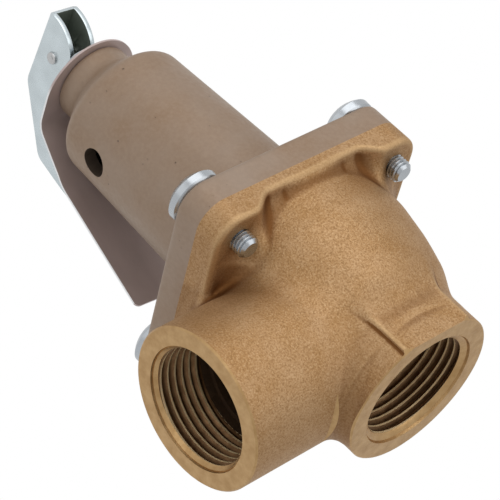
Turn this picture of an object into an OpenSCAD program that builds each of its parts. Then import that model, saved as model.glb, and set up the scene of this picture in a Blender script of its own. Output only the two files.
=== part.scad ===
// Angle-pattern pressure relief valve, 3/4 inch inlet and outlet, with a test lever.
// The inlet axis is Z and its face is z = 0. The outlet points along +X.

/* [Body casting] */
// Side of the square flanges
flange_w = 54.4; // [52:0.2:58]
// Corner radius of the square flanges
flange_r = 6; // [4:0.5:8]
// Height of the joint between body and bonnet above the inlet face
parting_h = 42.7; // [42:0.1:44]
// Thickness of the body's flange at its front and back edges
rim_t = 2.8; // [2.2:0.1:4]
// Thickness of the body's flange along its tapped sides
ear_t = 6; // [5:0.1:8]
// Width of each thick side of the body's flange
ear_w = 12.5; // [11:0.5:14]
// Radius of the inlet collar
collar_r = 18; // [17.6:0.1:18.4]
// Distance of the collar's wrench flat from the axis
flat_y = 16.4; // [15.6:0.1:17]
// Half width of the wrench flat's pad
flat_half_w = 9; // [7:0.5:10]
// Height of the outlet axis above the inlet face
outlet_h = 19.9; // [19.5:0.1:21]
// Distance of the outlet face from the inlet axis
outlet_x = 41.8; // [40:0.1:46]
// Radius of the outlet boss
outlet_r = 17.3; // [16.5:0.1:18]

/* [Ports] */
// Crest radius of the pipe threads
thread_r = 12.3; // [12:0.1:12.6]
// Length of the threaded bores
thread_len = 14; // [12:0.5:14.5]
// Radius of the countersink at each port face
mouth_r = 13.4; // [13.2:0.1:14]
// Depth of the countersink
mouth_t = 0.6; // [0.4:0.1:1]

/* [Bonnet] */
// Thickness of the bonnet's flange
bonnet_flange_t = 6.2; // [5.5:0.1:7]
// Radius of the barrel where it leaves the flange
barrel_r = 17.6; // [17.2:0.1:18.2]
// Radius of the barrel under its shoulder
barrel_top_r = 15.7; // [15.5:0.1:16]
// Height of the corner between the barrel and its sloping shoulder
shoulder_h = 93.7; // [93.4:0.1:94.2]
// Slope of the shoulder away from the valve's axis
shoulder_slope = 50; // [48:1:54]
// Height of the top of the boss
boss_h = 104.6; // [104.2:0.1:104.8]
// Radius of the top boss
boss_r = 9.1; // [8.8:0.1:9.3]
// Radius of the weep hole
weep_r = 3.2; // [2.5:0.1:3.6]
// Height of the weep hole
weep_h = 83.7; // [80:0.1:85]

/* [Screws] */
// Distance of the screws from the axis along X and Y
screw_at = 21.1; // [20.8:0.1:21.5]
// Radius of the screws
screw_r = 2.5; // [2.2:0.1:2.6]
// Radius of the round screw heads
head_r = 6.1; // [5.6:0.1:6.2]
// Height of the round screw heads
head_h = 4.8; // [4:0.1:5]
// Height of the straight side of the screw heads
head_rim = 2; // [1:0.1:2.4]
// Length of screw showing below the ears
screw_end = 3.4; // [2:0.1:5]

/* [Valve trim] */
// Radius of the nozzle's throat
throat_r = 7; // [6.6:0.1:7.2]
// Height of the seat lip
seat_h = 27; // [26.5:0.1:27.4]
// Radius of the spindle below the spring
stem_r = 2.9; // [2.7:0.1:3]
// Radius of the spindle above the diaphragm
spindle_r = 2.2; // [2:0.05:2.25]
// Height of the diaphragm's raised centre
dish_h = 45.8; // [45.6:0.1:46]
// Radius of the spring's coils at the wire's centre
coil_r = 9.8; // [9.6:0.1:10]
// Diameter of the spring wire
wire_d = 2.8; // [2.2:0.1:2.9]
// Height of the spring's lower end
spring_low = 50.6; // [50.6:0.1:51]
// Height of the spring's upper end
spring_high = 87.6; // [87:0.1:87.8]

/* [Lever and nameplate] */
// Turn of the lever and nameplate about the valve's axis
top_turn = 6; // [0:1:12]
// Height of the lever pin
pin_h = 114.2; // [114.1:0.1:114.6]
// Width of the lever outside its cheeks
lever_w = 7.1; // [7:0.1:7.6]
// Thickness of the lever's sheet
lever_t = 1.1; // [0.9:0.05:1.2]
// Radius of the lever pin
pin_r = 1; // [0.9:0.05:1.1]
// Radius of the round heel that bears on the lock nut
heel_r = 9.2; // [8.8:0.1:9.3]
// Width of the nameplate across its round head
plate_w = 24; // [22:0.5:25]
// Width of the nameplate's tongue at its tip
plate_tip_w = 26; // [25:0.5:27]
// Thickness of the nameplate
plate_t = 0.5; // [0.4:0.1:1]
// Across-flats size of the lock nut
nut_af = 13; // [12:0.5:14]

/* [Hidden] */
$fn = 72;
eps = 0.01;
fit_gap = 0.08;
bonnet_top = parting_h + bonnet_flange_t;
ear_z = parting_h - ear_t;
floor_z = thread_len + 0.5;
floor_top = floor_z + 6.5;
chamber_r = 20.5;
clamp_r = 25;
clamp_gap = 1.2;
bonnet_bore = 13.6;
bonnet_bore_top = 12.9;
ceiling_h = shoulder_h - 1.4;
neck_h = shoulder_h + (barrel_top_r - boss_r) / tan(shoulder_slope);
adjust_r = 5;
adjust_low = 90.8;
plate_top = boss_h + plate_t;
nut_top = boss_h + 3.4;
plate_shift = 1.6;
collar_top = 10;
nozzle_r = 9.5;
nozzle_rim_r = 11;
gasket_t = 0.6;
disc_t = 2.6;
disc_r = 10.4;
nut_t = 3.2;
stem_top = pin_h + 2.7;
rubber_t = 1.2;
dish_r = 11;
coils = 7.5;
closed_pitch = wire_d + 0.1;

// ---------- shared shapes ----------
module rounded_square(side, r) {
    h = side / 2 - r;
    square([side - 2 * r, side], center = true);
    square([side, side - 2 * r], center = true);
    for (x = [-h, h], y = [-h, h])
        translate([x, y]) circle(r);
}

module ring(outer, inner, height) {
    difference() {
        cylinder(r = outer, h = height);
        translate([0, 0, -1]) cylinder(r = inner, h = height + 2);
    }
}

module hexagon(af, height) {
    cylinder(r = af / sqrt(3), h = height, $fn = 6);
}

module at_screws() {
    for (x = [-screw_at, screw_at], y = [-screw_at, screw_at])
        translate([x, y, 0]) children();
}

// Lays a side profile, drawn as outward distance and height, in the plane of the lever.
// It is as wide as given, centred on the valve's axis.
module side_profile(width) {
    rotate([0, 0, top_turn])
        rotate([90, 0, -90])
            translate([0, 0, -width / 2])
                linear_extrude(width) children();
}

// Points of a path whose corners are rounded; each corner is [x, y, radius].
function unit(v) = v / norm(v);
function corner_arc(a, b, c) =
    let (u = unit([a[0] - b[0], a[1] - b[1]]),
        v = unit([c[0] - b[0], c[1] - b[1]]),
        half = acos(u * v) / 2,
        centre = [b[0], b[1]] + unit(u + v) * b[2] / sin(half),
        from = [b[0], b[1]] + u * b[2] / tan(half) - centre,
        turn = cross(u, v) > 0 ? 2 * half - 180 : 180 - 2 * half,
        steps = 6)
    [for (i = [0:steps]) let (t = turn * i / steps)
        centre + [from[0] * cos(t) - from[1] * sin(t), from[0] * sin(t) + from[1] * cos(t)]];
function rounded_path(p) = [
    [p[0][0], p[0][1]],
    for (i = [1:len(p) - 2]) each corner_arc(p[i - 1], p[i], p[i + 1]),
    [p[len(p) - 1][0], p[len(p) - 1][1]]];

// The same path moved to its right-hand side by a distance.
function path_normal(p, i) =
    let (a = p[max(i - 1, 0)], b = p[min(i + 1, len(p) - 1)], d = unit(b - a))
    [d[1], -d[0]];
function beside(p, distance) = [for (i = [0:len(p) - 1]) p[i] + path_normal(p, i) * distance];
function reversed(p) = [for (i = [len(p) - 1:-1:0]) p[i]];

// ---------- body ----------
module body_outside() {
    translate([0, 0, parting_h - rim_t])
        linear_extrude(rim_t) rounded_square(flange_w, flange_r);
    // The sides towards the outlet and away from it are thicker, for the screws.
    intersection() {
        translate([0, 0, ear_z])
            linear_extrude(ear_t) rounded_square(flange_w, flange_r);
        for (side = [-1, 1])
            translate([side * (flange_w - ear_w + 1) / 2, 0, ear_z])
                cube([ear_w + 1, flange_w, 2 * ear_t + 2], center = true);
    }
    rotate_extrude()
        polygon([[0, collar_top], [collar_r, collar_top], [20.2, 12.6], [21.7, 15.6],
            [23.6, 22.3], [25, 30], [25.4, parting_h], [0, parting_h]]);
    difference() {
        cylinder(r = collar_r, h = collar_top + 1);
        translate([-collar_r, flat_y, -1]) cube([2 * collar_r, 5, collar_top + 3]);
    }
    translate([-flat_half_w, 0, 0]) cube([2 * flat_half_w, flat_y, 14]);
    translate([0, 0, outlet_h]) rotate([0, 90, 0]) {
        cylinder(r = outlet_r, h = outlet_x - 0.5);
        translate([0, 0, outlet_x - 0.5]) cylinder(r1 = outlet_r, r2 = outlet_r - 0.5, h = 0.5);
    }
}

// A port bore running into the body from its face at z = 0, with its countersunk mouth.
module port() {
    translate([0, 0, mouth_t]) cylinder(r = thread_r, h = thread_len - mouth_t);
    translate([0, 0, -1]) cylinder(r = mouth_r, h = 1);
    cylinder(r1 = mouth_r, r2 = thread_r, h = mouth_t);
}

module body() {
    color("peru") difference() {
        body_outside();
        port();
        translate([outlet_x, 0, outlet_h]) rotate([0, -90, 0]) port();
        translate([15.8, 0, outlet_h])
            rotate([0, 90, 0]) cylinder(r = 11.2, h = outlet_x - thread_len - 15.8 + eps);
        rotate_extrude()
            polygon([[0, floor_top], [17.5, floor_top], [chamber_r, seat_h],
                [chamber_r, parting_h + 1], [0, parting_h + 1]]);
        translate([0, 0, thread_len - 1]) cylinder(r = nozzle_r + 0.05, h = 10);
        at_screws() translate([0, 0, ear_z - 1]) cylinder(r = screw_r + 0.05, h = ear_t + 2);
    }
}

// ---------- seat ----------
module seat_ring() {
    color("goldenrod") difference() {
        rotate_extrude()
            polygon([[throat_r, floor_z], [nozzle_r, floor_z], [nozzle_r, floor_top + gasket_t],
                [nozzle_rim_r, floor_top + gasket_t], [nozzle_rim_r, floor_top + 3],
                [throat_r + 1.3, seat_h], [throat_r, seat_h]]);
        for (a = [0:60:300])
            rotate([0, 0, a]) translate([nozzle_rim_r - 0.4, -5, floor_top]) cube([3, 10, 3.1]);
    }
}

module seat_gasket() {
    color("saddlebrown")
        translate([0, 0, floor_top]) ring(nozzle_rim_r - 0.5, nozzle_r + 0.1, gasket_t);
}

// ---------- bonnet ----------
module bonnet_outside() {
    translate([0, 0, parting_h])
        linear_extrude(bonnet_flange_t) rounded_square(flange_w, flange_r);
    barrel = rounded_path([[barrel_r, bonnet_top + 1.6], [barrel_top_r, shoulder_h, 2.6],
        [boss_r, neck_h, 4], [boss_r, boss_h - 0.8]]);
    rotate_extrude()
        polygon(concat([[0, parting_h], [barrel_r + 1.6, parting_h],
            [barrel_r + 1.6, bonnet_top], [barrel_r + 0.5, bonnet_top + 0.5]],
            barrel, [[boss_r - 2.2, boss_h], [0, boss_h]]));
}

module bonnet() {
    color("rosybrown") difference() {
        bonnet_outside();
        rotate_extrude()
            polygon([[0, parting_h - 1], [clamp_r + 0.3, parting_h - 1],
                [clamp_r + 0.3, parting_h + clamp_gap], [chamber_r, parting_h + clamp_gap],
                [bonnet_bore, bonnet_top + 0.4], [bonnet_bore_top, ceiling_h - 3],
                [bonnet_bore_top - 3, ceiling_h], [0, ceiling_h]]);
        translate([0, 0, ceiling_h - 1]) cylinder(r = adjust_r + 0.05, h = 20);
        translate([0, 0, weep_h]) rotate([0, 90, 0]) cylinder(r = weep_r, h = 30);
        at_screws() translate([0, 0, parting_h - 1])
            cylinder(r = screw_r + 0.25, h = bonnet_flange_t + 2);
    }
}

module bonnet_screws() {
    dome_h = head_h - head_rim;
    dome_r = (head_r * head_r + dome_h * dome_h) / (2 * dome_h);
    color("lightsteelblue") at_screws() difference() {
        union() {
            translate([0, 0, ear_z - screw_end + 0.6])
                cylinder(r = screw_r, h = bonnet_top - ear_z + screw_end - 0.6 + eps);
            translate([0, 0, ear_z - screw_end])
                cylinder(r1 = screw_r - 0.6, r2 = screw_r, h = 0.6);
            intersection() {
                translate([0, 0, bonnet_top + head_h - dome_r]) sphere(dome_r);
                translate([0, 0, bonnet_top]) cylinder(r = head_r, h = head_h + 1);
            }
        }
        translate([-0.7, -head_r, bonnet_top + head_h - 1.8]) cube([1.4, 2 * head_r, 3]);
    }
}

// ---------- diaphragm stack ----------
module diaphragm() {
    color("dimgray") rotate_extrude()
        polygon([[stem_r + 0.1, dish_h], [dish_r, dish_h], [20, parting_h], [clamp_r, parting_h],
            [clamp_r, parting_h + rubber_t], [20.3, parting_h + rubber_t],
            [dish_r + 0.3, dish_h + rubber_t], [stem_r + 0.1, dish_h + rubber_t]]);
}

module lower_diaphragm_plate() {
    color("goldenrod") translate([0, 0, dish_h - 1.2]) ring(10.6, stem_r + 0.05, 1.2);
}

module upper_diaphragm_plate() {
    color("silver") translate([0, 0, dish_h + rubber_t]) ring(10.8, stem_r + 0.05, 1.2);
}

module diaphragm_nut() {
    color("silver") translate([0, 0, dish_h + rubber_t + 1.2]) difference() {
        hexagon(10, nut_t);
        translate([0, 0, -1]) cylinder(r = stem_r + 0.05, h = nut_t + 2);
    }
}

// ---------- moving trim ----------
module stem() {
    shoulder = dish_h + rubber_t + 1.2 + nut_t + 0.6;
    color("silver") difference() {
        rotate_extrude()
            polygon([[0, 20.5], [stem_r - 0.4, 20.5], [stem_r, 20.9], [stem_r, shoulder],
                [spindle_r, shoulder + 0.6], [spindle_r, stem_top - 0.6],
                [spindle_r - 0.6, stem_top], [0, stem_top]]);
        side_profile(10) translate([0, pin_h]) circle(pin_r + 0.05, $fn = 48);
    }
}

module wing_guide() {
    color("goldenrod") difference() {
        union() {
            translate([0, 0, 17]) cylinder(r = stem_r + 1.3, h = 9.5);
            translate([0, 0, seat_h - 1]) cylinder(r = throat_r - 0.7, h = 1);
            intersection() {
                for (a = [45, 135])
                    rotate([0, 0, a]) translate([-10, -0.7, 16]) cube([20, 1.4, 9.5]);
                cylinder(r = throat_r - fit_gap, h = 40);
            }
        }
        translate([0, 0, 20]) cylinder(r = stem_r + 0.05, h = 10);
    }
}

module seat_disc() {
    color("dimgray")
        translate([0, 0, seat_h]) ring(disc_r, stem_r + 0.1, disc_t);
}

module disc_holder() {
    top = dish_h - 1.2;
    color("goldenrod") difference() {
        rotate_extrude()
            polygon([[0, seat_h + 0.8], [12, seat_h + 0.8], [12, seat_h + 5], [11, seat_h + 6.5],
                [6.4, seat_h + 8.5], [6.4, top], [0, top]]);
        translate([0, 0, seat_h]) cylinder(r = disc_r + 0.1, h = disc_t);
        translate([0, 0, seat_h]) cylinder(r = stem_r + 0.05, h = 30);
    }
}

module lower_spring_button() {
    base = dish_h + rubber_t + 1.2;
    color("silver") difference() {
        union() {
            translate([0, 0, base]) cylinder(r = 12, h = spring_low - base);
            translate([0, 0, base]) cylinder(r = coil_r - wire_d / 2 - 0.3, h = 4.4);
        }
        translate([0, 0, base - 1]) cylinder(r = 6.4, h = 8);
    }
}

module upper_spring_button() {
    color("silver") difference() {
        union() {
            translate([0, 0, spring_high]) cylinder(r = 11.6, h = 2.2);
            translate([0, 0, spring_high - 2]) cylinder(r = coil_r - wire_d / 2 - 0.3, h = 2.1);
            translate([0, 0, spring_high + 2]) cylinder(r = 6.5, h = adjust_low - spring_high - 2);
        }
        translate([0, 0, spring_high - 3]) cylinder(r = spindle_r + 0.5, h = 8);
    }
}

// ---------- spring ----------
// Height of the wire's centre after t turns: one closed turn at each end, open turns between.
function coil_z(t) =
    let (span = spring_high - spring_low - wire_d - 0.1,
        open = (span - 2 * closed_pitch) / (coils - 2),
        z = t < 1 ? t * closed_pitch
            : t > coils - 1 ? span - (coils - t) * closed_pitch
            : closed_pitch + (t - 1) * open)
    spring_low + wire_d / 2 + 0.05 + z;

module spring() {
    sides = 8;
    per_turn = 20;
    n = coils * per_turn;
    points = [for (i = [0:n], k = [0:sides - 1])
        let (a = 360 * i / per_turn, b = 360 * k / sides, r = coil_r + wire_d / 2 * cos(b))
        [r * cos(a), r * sin(a), coil_z(i / per_turn) + wire_d / 2 * sin(b)]];
    faces = [
        [for (k = [sides - 1:-1:0]) k],
        for (i = [0:n - 1], k = [0:sides - 1])
            let (j = (k + 1) % sides)
            [i * sides + j, (i + 1) * sides + j, (i + 1) * sides + k, i * sides + k],
        [for (k = [0:sides - 1]) n * sides + k]];
    color("slategray") polyhedron(points, faces);
}

// ---------- adjusting screw, nut and nameplate ----------
module adjusting_screw() {
    color("silver") difference() {
        union() {
            translate([0, 0, adjust_low]) cylinder(r1 = adjust_r - 0.7, r2 = adjust_r, h = 0.7);
            translate([0, 0, adjust_low + 0.7])
                cylinder(r = adjust_r, h = nut_top - adjust_low - 0.7);
        }
        translate([0, 0, adjust_low - 1]) cylinder(r = spindle_r + fit_gap, h = 30);
        rotate([0, 0, top_turn]) translate([-10, -0.8, nut_top - 1.5]) cube([20, 1.6, 3]);
    }
}

module lock_nut() {
    color("lightsteelblue") translate([0, 0, plate_top]) difference() {
        hexagon(nut_af, nut_top - plate_top);
        translate([0, 0, -1]) cylinder(r = adjust_r + 0.05, h = 10);
    }
}

// The nameplate's top face: level over the boss, then bent down and outward.
plate_path = rounded_path([[plate_shift, plate_top], [9.6, plate_top, 5], [18.3, 93.6, 9],
    [27.7, 63.4]]);
plate_tip = plate_path[len(plate_path) - 1];
plate_bend_h = 96;
tip_slope = atan2(93.6 - 63.4, 27.7 - 18.3);

module plate_tip_corner(side) {
    r = 1.4;
    rotate([0, 0, top_turn]) translate([side * plate_tip_w / 2, -plate_tip[0], plate_tip[1]])
        rotate([90 - tip_slope, 0, 0])
            difference() {
                translate([-r, -3, -r]) cube([2 * r, 6, 2 * r]);
                translate([-side * r, 4, r]) rotate([90, 0, 0]) cylinder(r = r, h = 8, $fn = 36);
                translate([side > 0 ? -3 * r : r, -4, -2 * r]) cube([2 * r, 8, 4 * r]);
                translate([-2 * r, -4, r]) cube([4 * r, 8, 2 * r]);
            }
}

module nameplate() {
    color("lightgray") difference() {
        union() {
            rotate([0, 0, top_turn]) intersection() {
                translate([0, -plate_shift, boss_h]) cylinder(r = plate_w / 2, h = plate_t);
                translate([-plate_w, -plate_shift - 1, boss_h - 1])
                    cube([2 * plate_w, 2 * plate_w, 3]);
            }
            intersection() {
                side_profile(2 * plate_w)
                    polygon(concat(plate_path, reversed(beside(plate_path, plate_t))));
                rotate([90, 0, top_turn]) linear_extrude(50)
                    polygon([[-plate_w / 2, plate_top + 1], [-plate_w / 2, plate_bend_h],
                        [-plate_tip_w / 2, plate_tip[1] - 1], [plate_tip_w / 2, plate_tip[1] - 1],
                        [plate_w / 2, plate_bend_h], [plate_w / 2, plate_top + 1]]);
            }
        }
        translate([0, 0, boss_h - 1]) cylinder(r = adjust_r + 0.15, h = 4);
        plate_tip_corner(-1);
        plate_tip_corner(1);
    }
}

// ---------- lever ----------
// Side view about the pin: the web's outer face, from the open back end to the handle's lip.
web_path = rounded_path([[-9.3, 4.3], [10.2, 6.1, 4], [26, -3.3, 4], [28.5, -13.5, 12],
    [29.2, -29, 7], [31, -34.6]]);
// The cheeks' free edge, from the handle's lip back to the heel.
edge_path = rounded_path([[29.1, -35.2], [25, -28.4, 5], [22.8, -9.6, 5], [12.5, -5.7, 6],
    [-1.4, -5.65]]);
heel_at = [-0.5, 3.5];
heel_arc = [for (a = [264:-12:180]) heel_at + heel_r * [cos(a), sin(a)]];

module lever() {
    gap_w = lever_w - 2 * lever_t;
    color("lightsteelblue") difference() {
        side_profile(lever_w) translate([0, pin_h])
            polygon(concat(web_path, edge_path, heel_arc));
        side_profile(gap_w) translate([0, pin_h])
            polygon(concat([[-30, 2.5]], beside(web_path, lever_t), [[31, -60], [-30, -60]]));
        side_profile(20) translate([0, pin_h]) circle(pin_r + 0.02, $fn = 48);
    }
}

module lever_pin() {
    color("gainsboro") translate([0, 0, pin_h]) rotate([0, 90, top_turn]) {
        cylinder(r = pin_r, h = lever_w + 0.8, center = true);
        for (side = [-1, 1])
            translate([0, 0, side * (lever_w / 2 + 0.25)]) cylinder(r = 1.4, h = 0.5, center = true);
    }
}

body();
seat_ring();
seat_gasket();
bonnet();
bonnet_screws();
diaphragm();
upper_spring_button();
spring();
adjusting_screw();
lock_nut();
nameplate();
stem();
wing_guide();
seat_disc();
disc_holder();
lower_diaphragm_plate();
upper_diaphragm_plate();
diaphragm_nut();
lower_spring_button();
lever();
lever_pin();
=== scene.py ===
"""Looks of the pressure relief valve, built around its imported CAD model.

Shapes are worked out in millimetres in the part's frame (inlet face at z = 0, outlet towards +X,
lever towards -Y) and become metres when a mesh is made.
"""

import math

import bmesh
import bpy
import numpy as np
from mathutils import Matrix, Vector


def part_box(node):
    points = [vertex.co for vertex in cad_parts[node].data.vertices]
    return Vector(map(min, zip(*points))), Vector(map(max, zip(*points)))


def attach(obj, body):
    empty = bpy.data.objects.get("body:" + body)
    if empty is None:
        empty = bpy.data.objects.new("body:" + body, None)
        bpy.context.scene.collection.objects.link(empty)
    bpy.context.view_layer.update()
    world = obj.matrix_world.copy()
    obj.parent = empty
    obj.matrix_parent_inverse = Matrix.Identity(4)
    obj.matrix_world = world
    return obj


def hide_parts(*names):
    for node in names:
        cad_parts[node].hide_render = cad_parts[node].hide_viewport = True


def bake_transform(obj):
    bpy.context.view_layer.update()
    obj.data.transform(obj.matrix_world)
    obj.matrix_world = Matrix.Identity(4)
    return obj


MM = 0.001
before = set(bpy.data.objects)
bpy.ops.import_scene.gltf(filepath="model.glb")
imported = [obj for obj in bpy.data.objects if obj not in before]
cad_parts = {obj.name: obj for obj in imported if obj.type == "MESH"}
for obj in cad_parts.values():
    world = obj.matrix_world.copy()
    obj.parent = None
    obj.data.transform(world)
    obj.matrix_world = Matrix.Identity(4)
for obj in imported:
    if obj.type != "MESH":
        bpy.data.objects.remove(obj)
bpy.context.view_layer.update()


def box_mm(node):
    low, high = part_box(node)
    return np.array(low) / MM, np.array(high) / MM


# ---------- sizes, in millimetres ----------
FLANGE_HALF = box_mm("body")[1][1] - 0.02  # a hair inside the design's flange
OUTLET_X = box_mm("body")[1][0]
PARTING_H = box_mm("body")[1][2]
BOSS_H = box_mm("bonnet")[1][2]
SEAT_H = box_mm("seat_ring")[1][2]
SCREW_LOW, SCREW_HIGH = box_mm("bonnet_screws")[0][2], box_mm("bonnet_screws")[1][2]
SPRING_LOW, SPRING_HIGH = box_mm("spring")[0][2], box_mm("spring")[1][2]
SPRING_R = box_mm("spring")[1][1]
DISH_TOP = box_mm("diaphragm")[1][2]
PLATE_TOP = box_mm("nameplate")[1][2]
NUT_TOP = box_mm("lock_nut")[1][2]

FLANGE_R = 6.0  # corner radius of the square flanges
RIM_T = 2.8
EAR_T = 6.0
EAR_AT = FLANGE_HALF - 12.5  # where the flange's thick sides begin
EAR_RAMP = 3.0  # half the length of the slope from rim to thick side
COLLAR_R = 18.0
FLAT_Y = 16.4
FLAT_HALF_W = 9.0
OUTLET_H = 19.9
OUTLET_R = 17.3
THREAD_R = 12.3  # crests of the pipe threads
THREAD_ROOT_R = 13.25
THREAD_LEN = 14.0
PIPE_PITCH = 25.4 / 14
PASSAGE_R = 11.2  # from the chamber out to the outlet's thread
NOZZLE_R = 9.55  # hole for the seat ring in the chamber's floor
CHAMBER_R = 20.5
FLOOR_TOP = 21.0
BONNET_FLANGE_T = 6.2
BONNET_TOP = PARTING_H + BONNET_FLANGE_T
BARREL_R = 17.6
SHOULDER_R = 15.7
SHOULDER_H = 93.7
SHOULDER_SLOPE = math.radians(50)
BOSS_R = 9.1
SLEEVE_R = 5.0  # adjusting screw, through the boss, the nameplate and the lock nut
WEEP_R = 3.2
WEEP_H = 83.7
SCREW_AT = 21.1
SCREW_R = 2.5
HEAD_R = box_mm("bonnet_screws")[1][0] - SCREW_AT
TOP_TURN = math.radians(6)  # turn of the lever and nameplate
PLATE_HALF_W = 12.0
PLATE_TIP_HALF_W = 13.0
PLATE_BEND_H = 96.0
PLATE_T = PLATE_TOP - BOSS_H
PLATE_SHIFT = 1.6  # how far the round head is set off its hole
PIN_H = 114.2
LEVER_W = 7.1
LEVER_T = 1.1
SHEET_T = 1.2  # thickness of the diaphragm


# ---------- mesh helpers ----------
def solid(name, points, faces):
    """A closed mesh object from points in millimetres, with its faces turned outwards."""
    mesh = bpy.data.meshes.new(name)
    mesh.from_pydata([tuple(p) for p in np.asarray(points, float) * MM], [], faces)
    obj = bpy.data.objects.new(name, mesh)
    bpy.context.scene.collection.objects.link(obj)
    work = bmesh.new()
    work.from_mesh(mesh)
    bmesh.ops.recalc_face_normals(work, faces=work.faces)
    work.to_mesh(mesh)
    work.free()
    return obj


def lathe(name, profile, segments=128, place=None):
    """A solid turned about Z from (radius, height) points that start and end on the axis."""
    points, faces, rings = [], [], []
    for radius, height in profile:
        if radius < 1e-6:
            rings.append([len(points)])
            points.append((0, 0, height))
            continue
        rings.append(list(range(len(points), len(points) + segments)))
        for i in range(segments):
            a = 2 * math.pi * i / segments
            points.append((radius * math.cos(a), radius * math.sin(a), height))
    for low, high in zip(rings, rings[1:]):
        for i in range(segments):
            j = (i + 1) % segments
            corners = [low[i % len(low)], low[j % len(low)]]
            corners += [high[j % len(high)], high[i % len(high)]]
            corners = list(dict.fromkeys(corners))
            if len(corners) > 2:
                faces.append(corners)
    return placed(solid(name, points, faces), place)


def rod(name, radius, low, high, segments, place=None):
    """A plain cylinder between two heights, used as a cutter."""
    profile = [(0, low), (radius, low), (radius, high), (0, high)]
    return lathe(name, profile, segments, place)


def ring_solid(name, profile, segments=128, place=None):
    """A solid turned about Z from a closed loop of (radius, height) points off the axis."""
    points = [
        (r * math.cos(a), r * math.sin(a), z)
        for r, z in profile
        for a in (2 * math.pi * i / segments for i in range(segments))
    ]
    count = len(profile)
    faces = []
    for k in range(count):
        for i in range(segments):
            j = (i + 1) % segments
            a, b = k * segments, ((k + 1) % count) * segments
            faces.append([a + i, a + j, b + j, b + i])
    return placed(solid(name, points, faces), place)


def prism(name, outline, low, high, place=None):
    """A straight solid between two heights from an outline of (x, y) points."""
    n = len(outline)
    points = [(x, y, low) for x, y in outline] + [(x, y, high) for x, y in outline]
    faces = [list(range(n))[::-1], list(range(n, 2 * n))]
    faces += [[i, (i + 1) % n, n + (i + 1) % n, n + i] for i in range(n)]
    return placed(solid(name, points, faces), place)


def placed(obj, place):
    """Moves a mesh's points by a 4 x 4 matrix given in millimetres."""
    if place is not None:
        move = Matrix(place)
        move.translation = move.translation * MM
        obj.data.transform(move)
    return obj


def frame_of(x_axis, y_axis, z_axis, origin):
    columns = [Vector(x_axis), Vector(y_axis), Vector(z_axis)]
    turn = Matrix(columns).transposed().to_4x4()
    turn.translation = Vector(origin)
    return turn


def apply_modifiers(obj):
    bpy.context.view_layer.update()
    shown = obj.evaluated_get(bpy.context.evaluated_depsgraph_get())
    mesh = bpy.data.meshes.new_from_object(shown)
    obj.modifiers.clear()
    obj.data = mesh
    return obj


def combine(obj, tools, operation="DIFFERENCE"):
    """Cuts the tools out of obj, or joins them to it, and removes the tools."""
    for tool in tools:
        step = obj.modifiers.new("step", "BOOLEAN")
        step.operation = operation
        step.solver = "MANIFOLD"
        step.object = tool
        apply_modifiers(obj)
        bpy.data.objects.remove(tool)
    return obj


def machined(tool, index=1):
    """Marks a cutter so that the faces it leaves take another of the piece's materials."""
    for _ in range(5):
        tool.data.materials.append(None)
    tool.data.polygons.foreach_set("material_index", [index] * len(tool.data.polygons))
    return tool


def soft_edges(obj, width, segments=2, angle=40):
    bevel = obj.modifiers.new("edges", "BEVEL")
    bevel.width = width * MM
    bevel.segments = segments
    bevel.limit_method = "ANGLE"
    bevel.angle_limit = math.radians(angle)
    return apply_modifiers(obj)


def smooth(obj, angle=35):
    obj.data.shade_smooth()
    obj.data.set_sharp_from_angle(angle=math.radians(angle))
    return obj


def finish_piece(obj, body, replaced, materials):
    """Gives a piece its materials and joins it to the frame."""
    while len(obj.data.materials) < len(materials):
        obj.data.materials.append(None)
    for i, m in enumerate(materials):
        obj.data.materials[i] = m
    while len(obj.data.materials) > len(materials):
        obj.data.materials.pop()
    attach(obj, body)
    if replaced:
        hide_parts(*replaced)
    return obj


# ---------- paths ----------
def unit(v):
    return np.asarray(v, float) / np.linalg.norm(v)


def rounded_path(corners, steps=14):
    """A path of (x, y, radius) corners with every inner corner turned into an arc."""
    path = [np.array(corners[0][:2], float)]
    for before, here, after in zip(corners, corners[1:], corners[2:]):
        here_at = np.array(here[:2], float)
        back, ahead = unit(before[:2] - here_at), unit(after[:2] - here_at)
        half = math.acos(float(back @ ahead)) / 2
        centre = here_at + unit(back + ahead) * here[2] / math.sin(half)
        arm = here_at + back * here[2] / math.tan(half) - centre
        side = 1 if back[0] * ahead[1] - back[1] * ahead[0] < 0 else -1
        sweep = side * (math.pi - 2 * half)
        for k in range(steps + 1):
            c, s = math.cos(sweep * k / steps), math.sin(sweep * k / steps)
            path.append(centre + np.array([arm[0] * c - arm[1] * s, arm[0] * s + arm[1] * c]))
    path.append(np.array(corners[-1][:2], float))
    return path


def beside(path, distance):
    """The same path moved to its right-hand side."""
    moved = []
    for i, point in enumerate(path):
        along = unit(path[min(i + 1, len(path) - 1)] - path[max(i - 1, 0)])
        moved.append(point + np.array([along[1], -along[0]]) * distance)
    return moved


# ---------- cast shapes as distance fields ----------
def rounded_square(x, y, half, radius):
    u = np.abs(x) - (half - radius)
    v = np.abs(y) - (half - radius)
    outside = np.hypot(np.maximum(u, 0), np.maximum(v, 0))
    return outside + np.minimum(np.maximum(u, v), 0) - radius


def slab(z, low, high):
    return np.maximum(low - z, z - high)


def filleted(a, b, radius):
    """Union of two fields with a fillet in the corner between them."""
    near = np.hypot(np.maximum(radius - a, 0), np.maximum(radius - b, 0))
    return np.maximum(radius, np.minimum(a, b)) - near


def rounded_both(a, b, radius):
    """Intersection of two fields with its edge rounded."""
    near = np.hypot(np.maximum(radius + a, 0), np.maximum(radius + b, 0))
    return np.minimum(-radius, np.maximum(a, b)) + near


def melted(a, b, reach):
    """Union of two fields whose joint is softened as far as reach."""
    near = np.maximum(reach - np.abs(a - b), 0) / reach
    return np.minimum(a, b) - near * near * reach / 4


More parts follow.
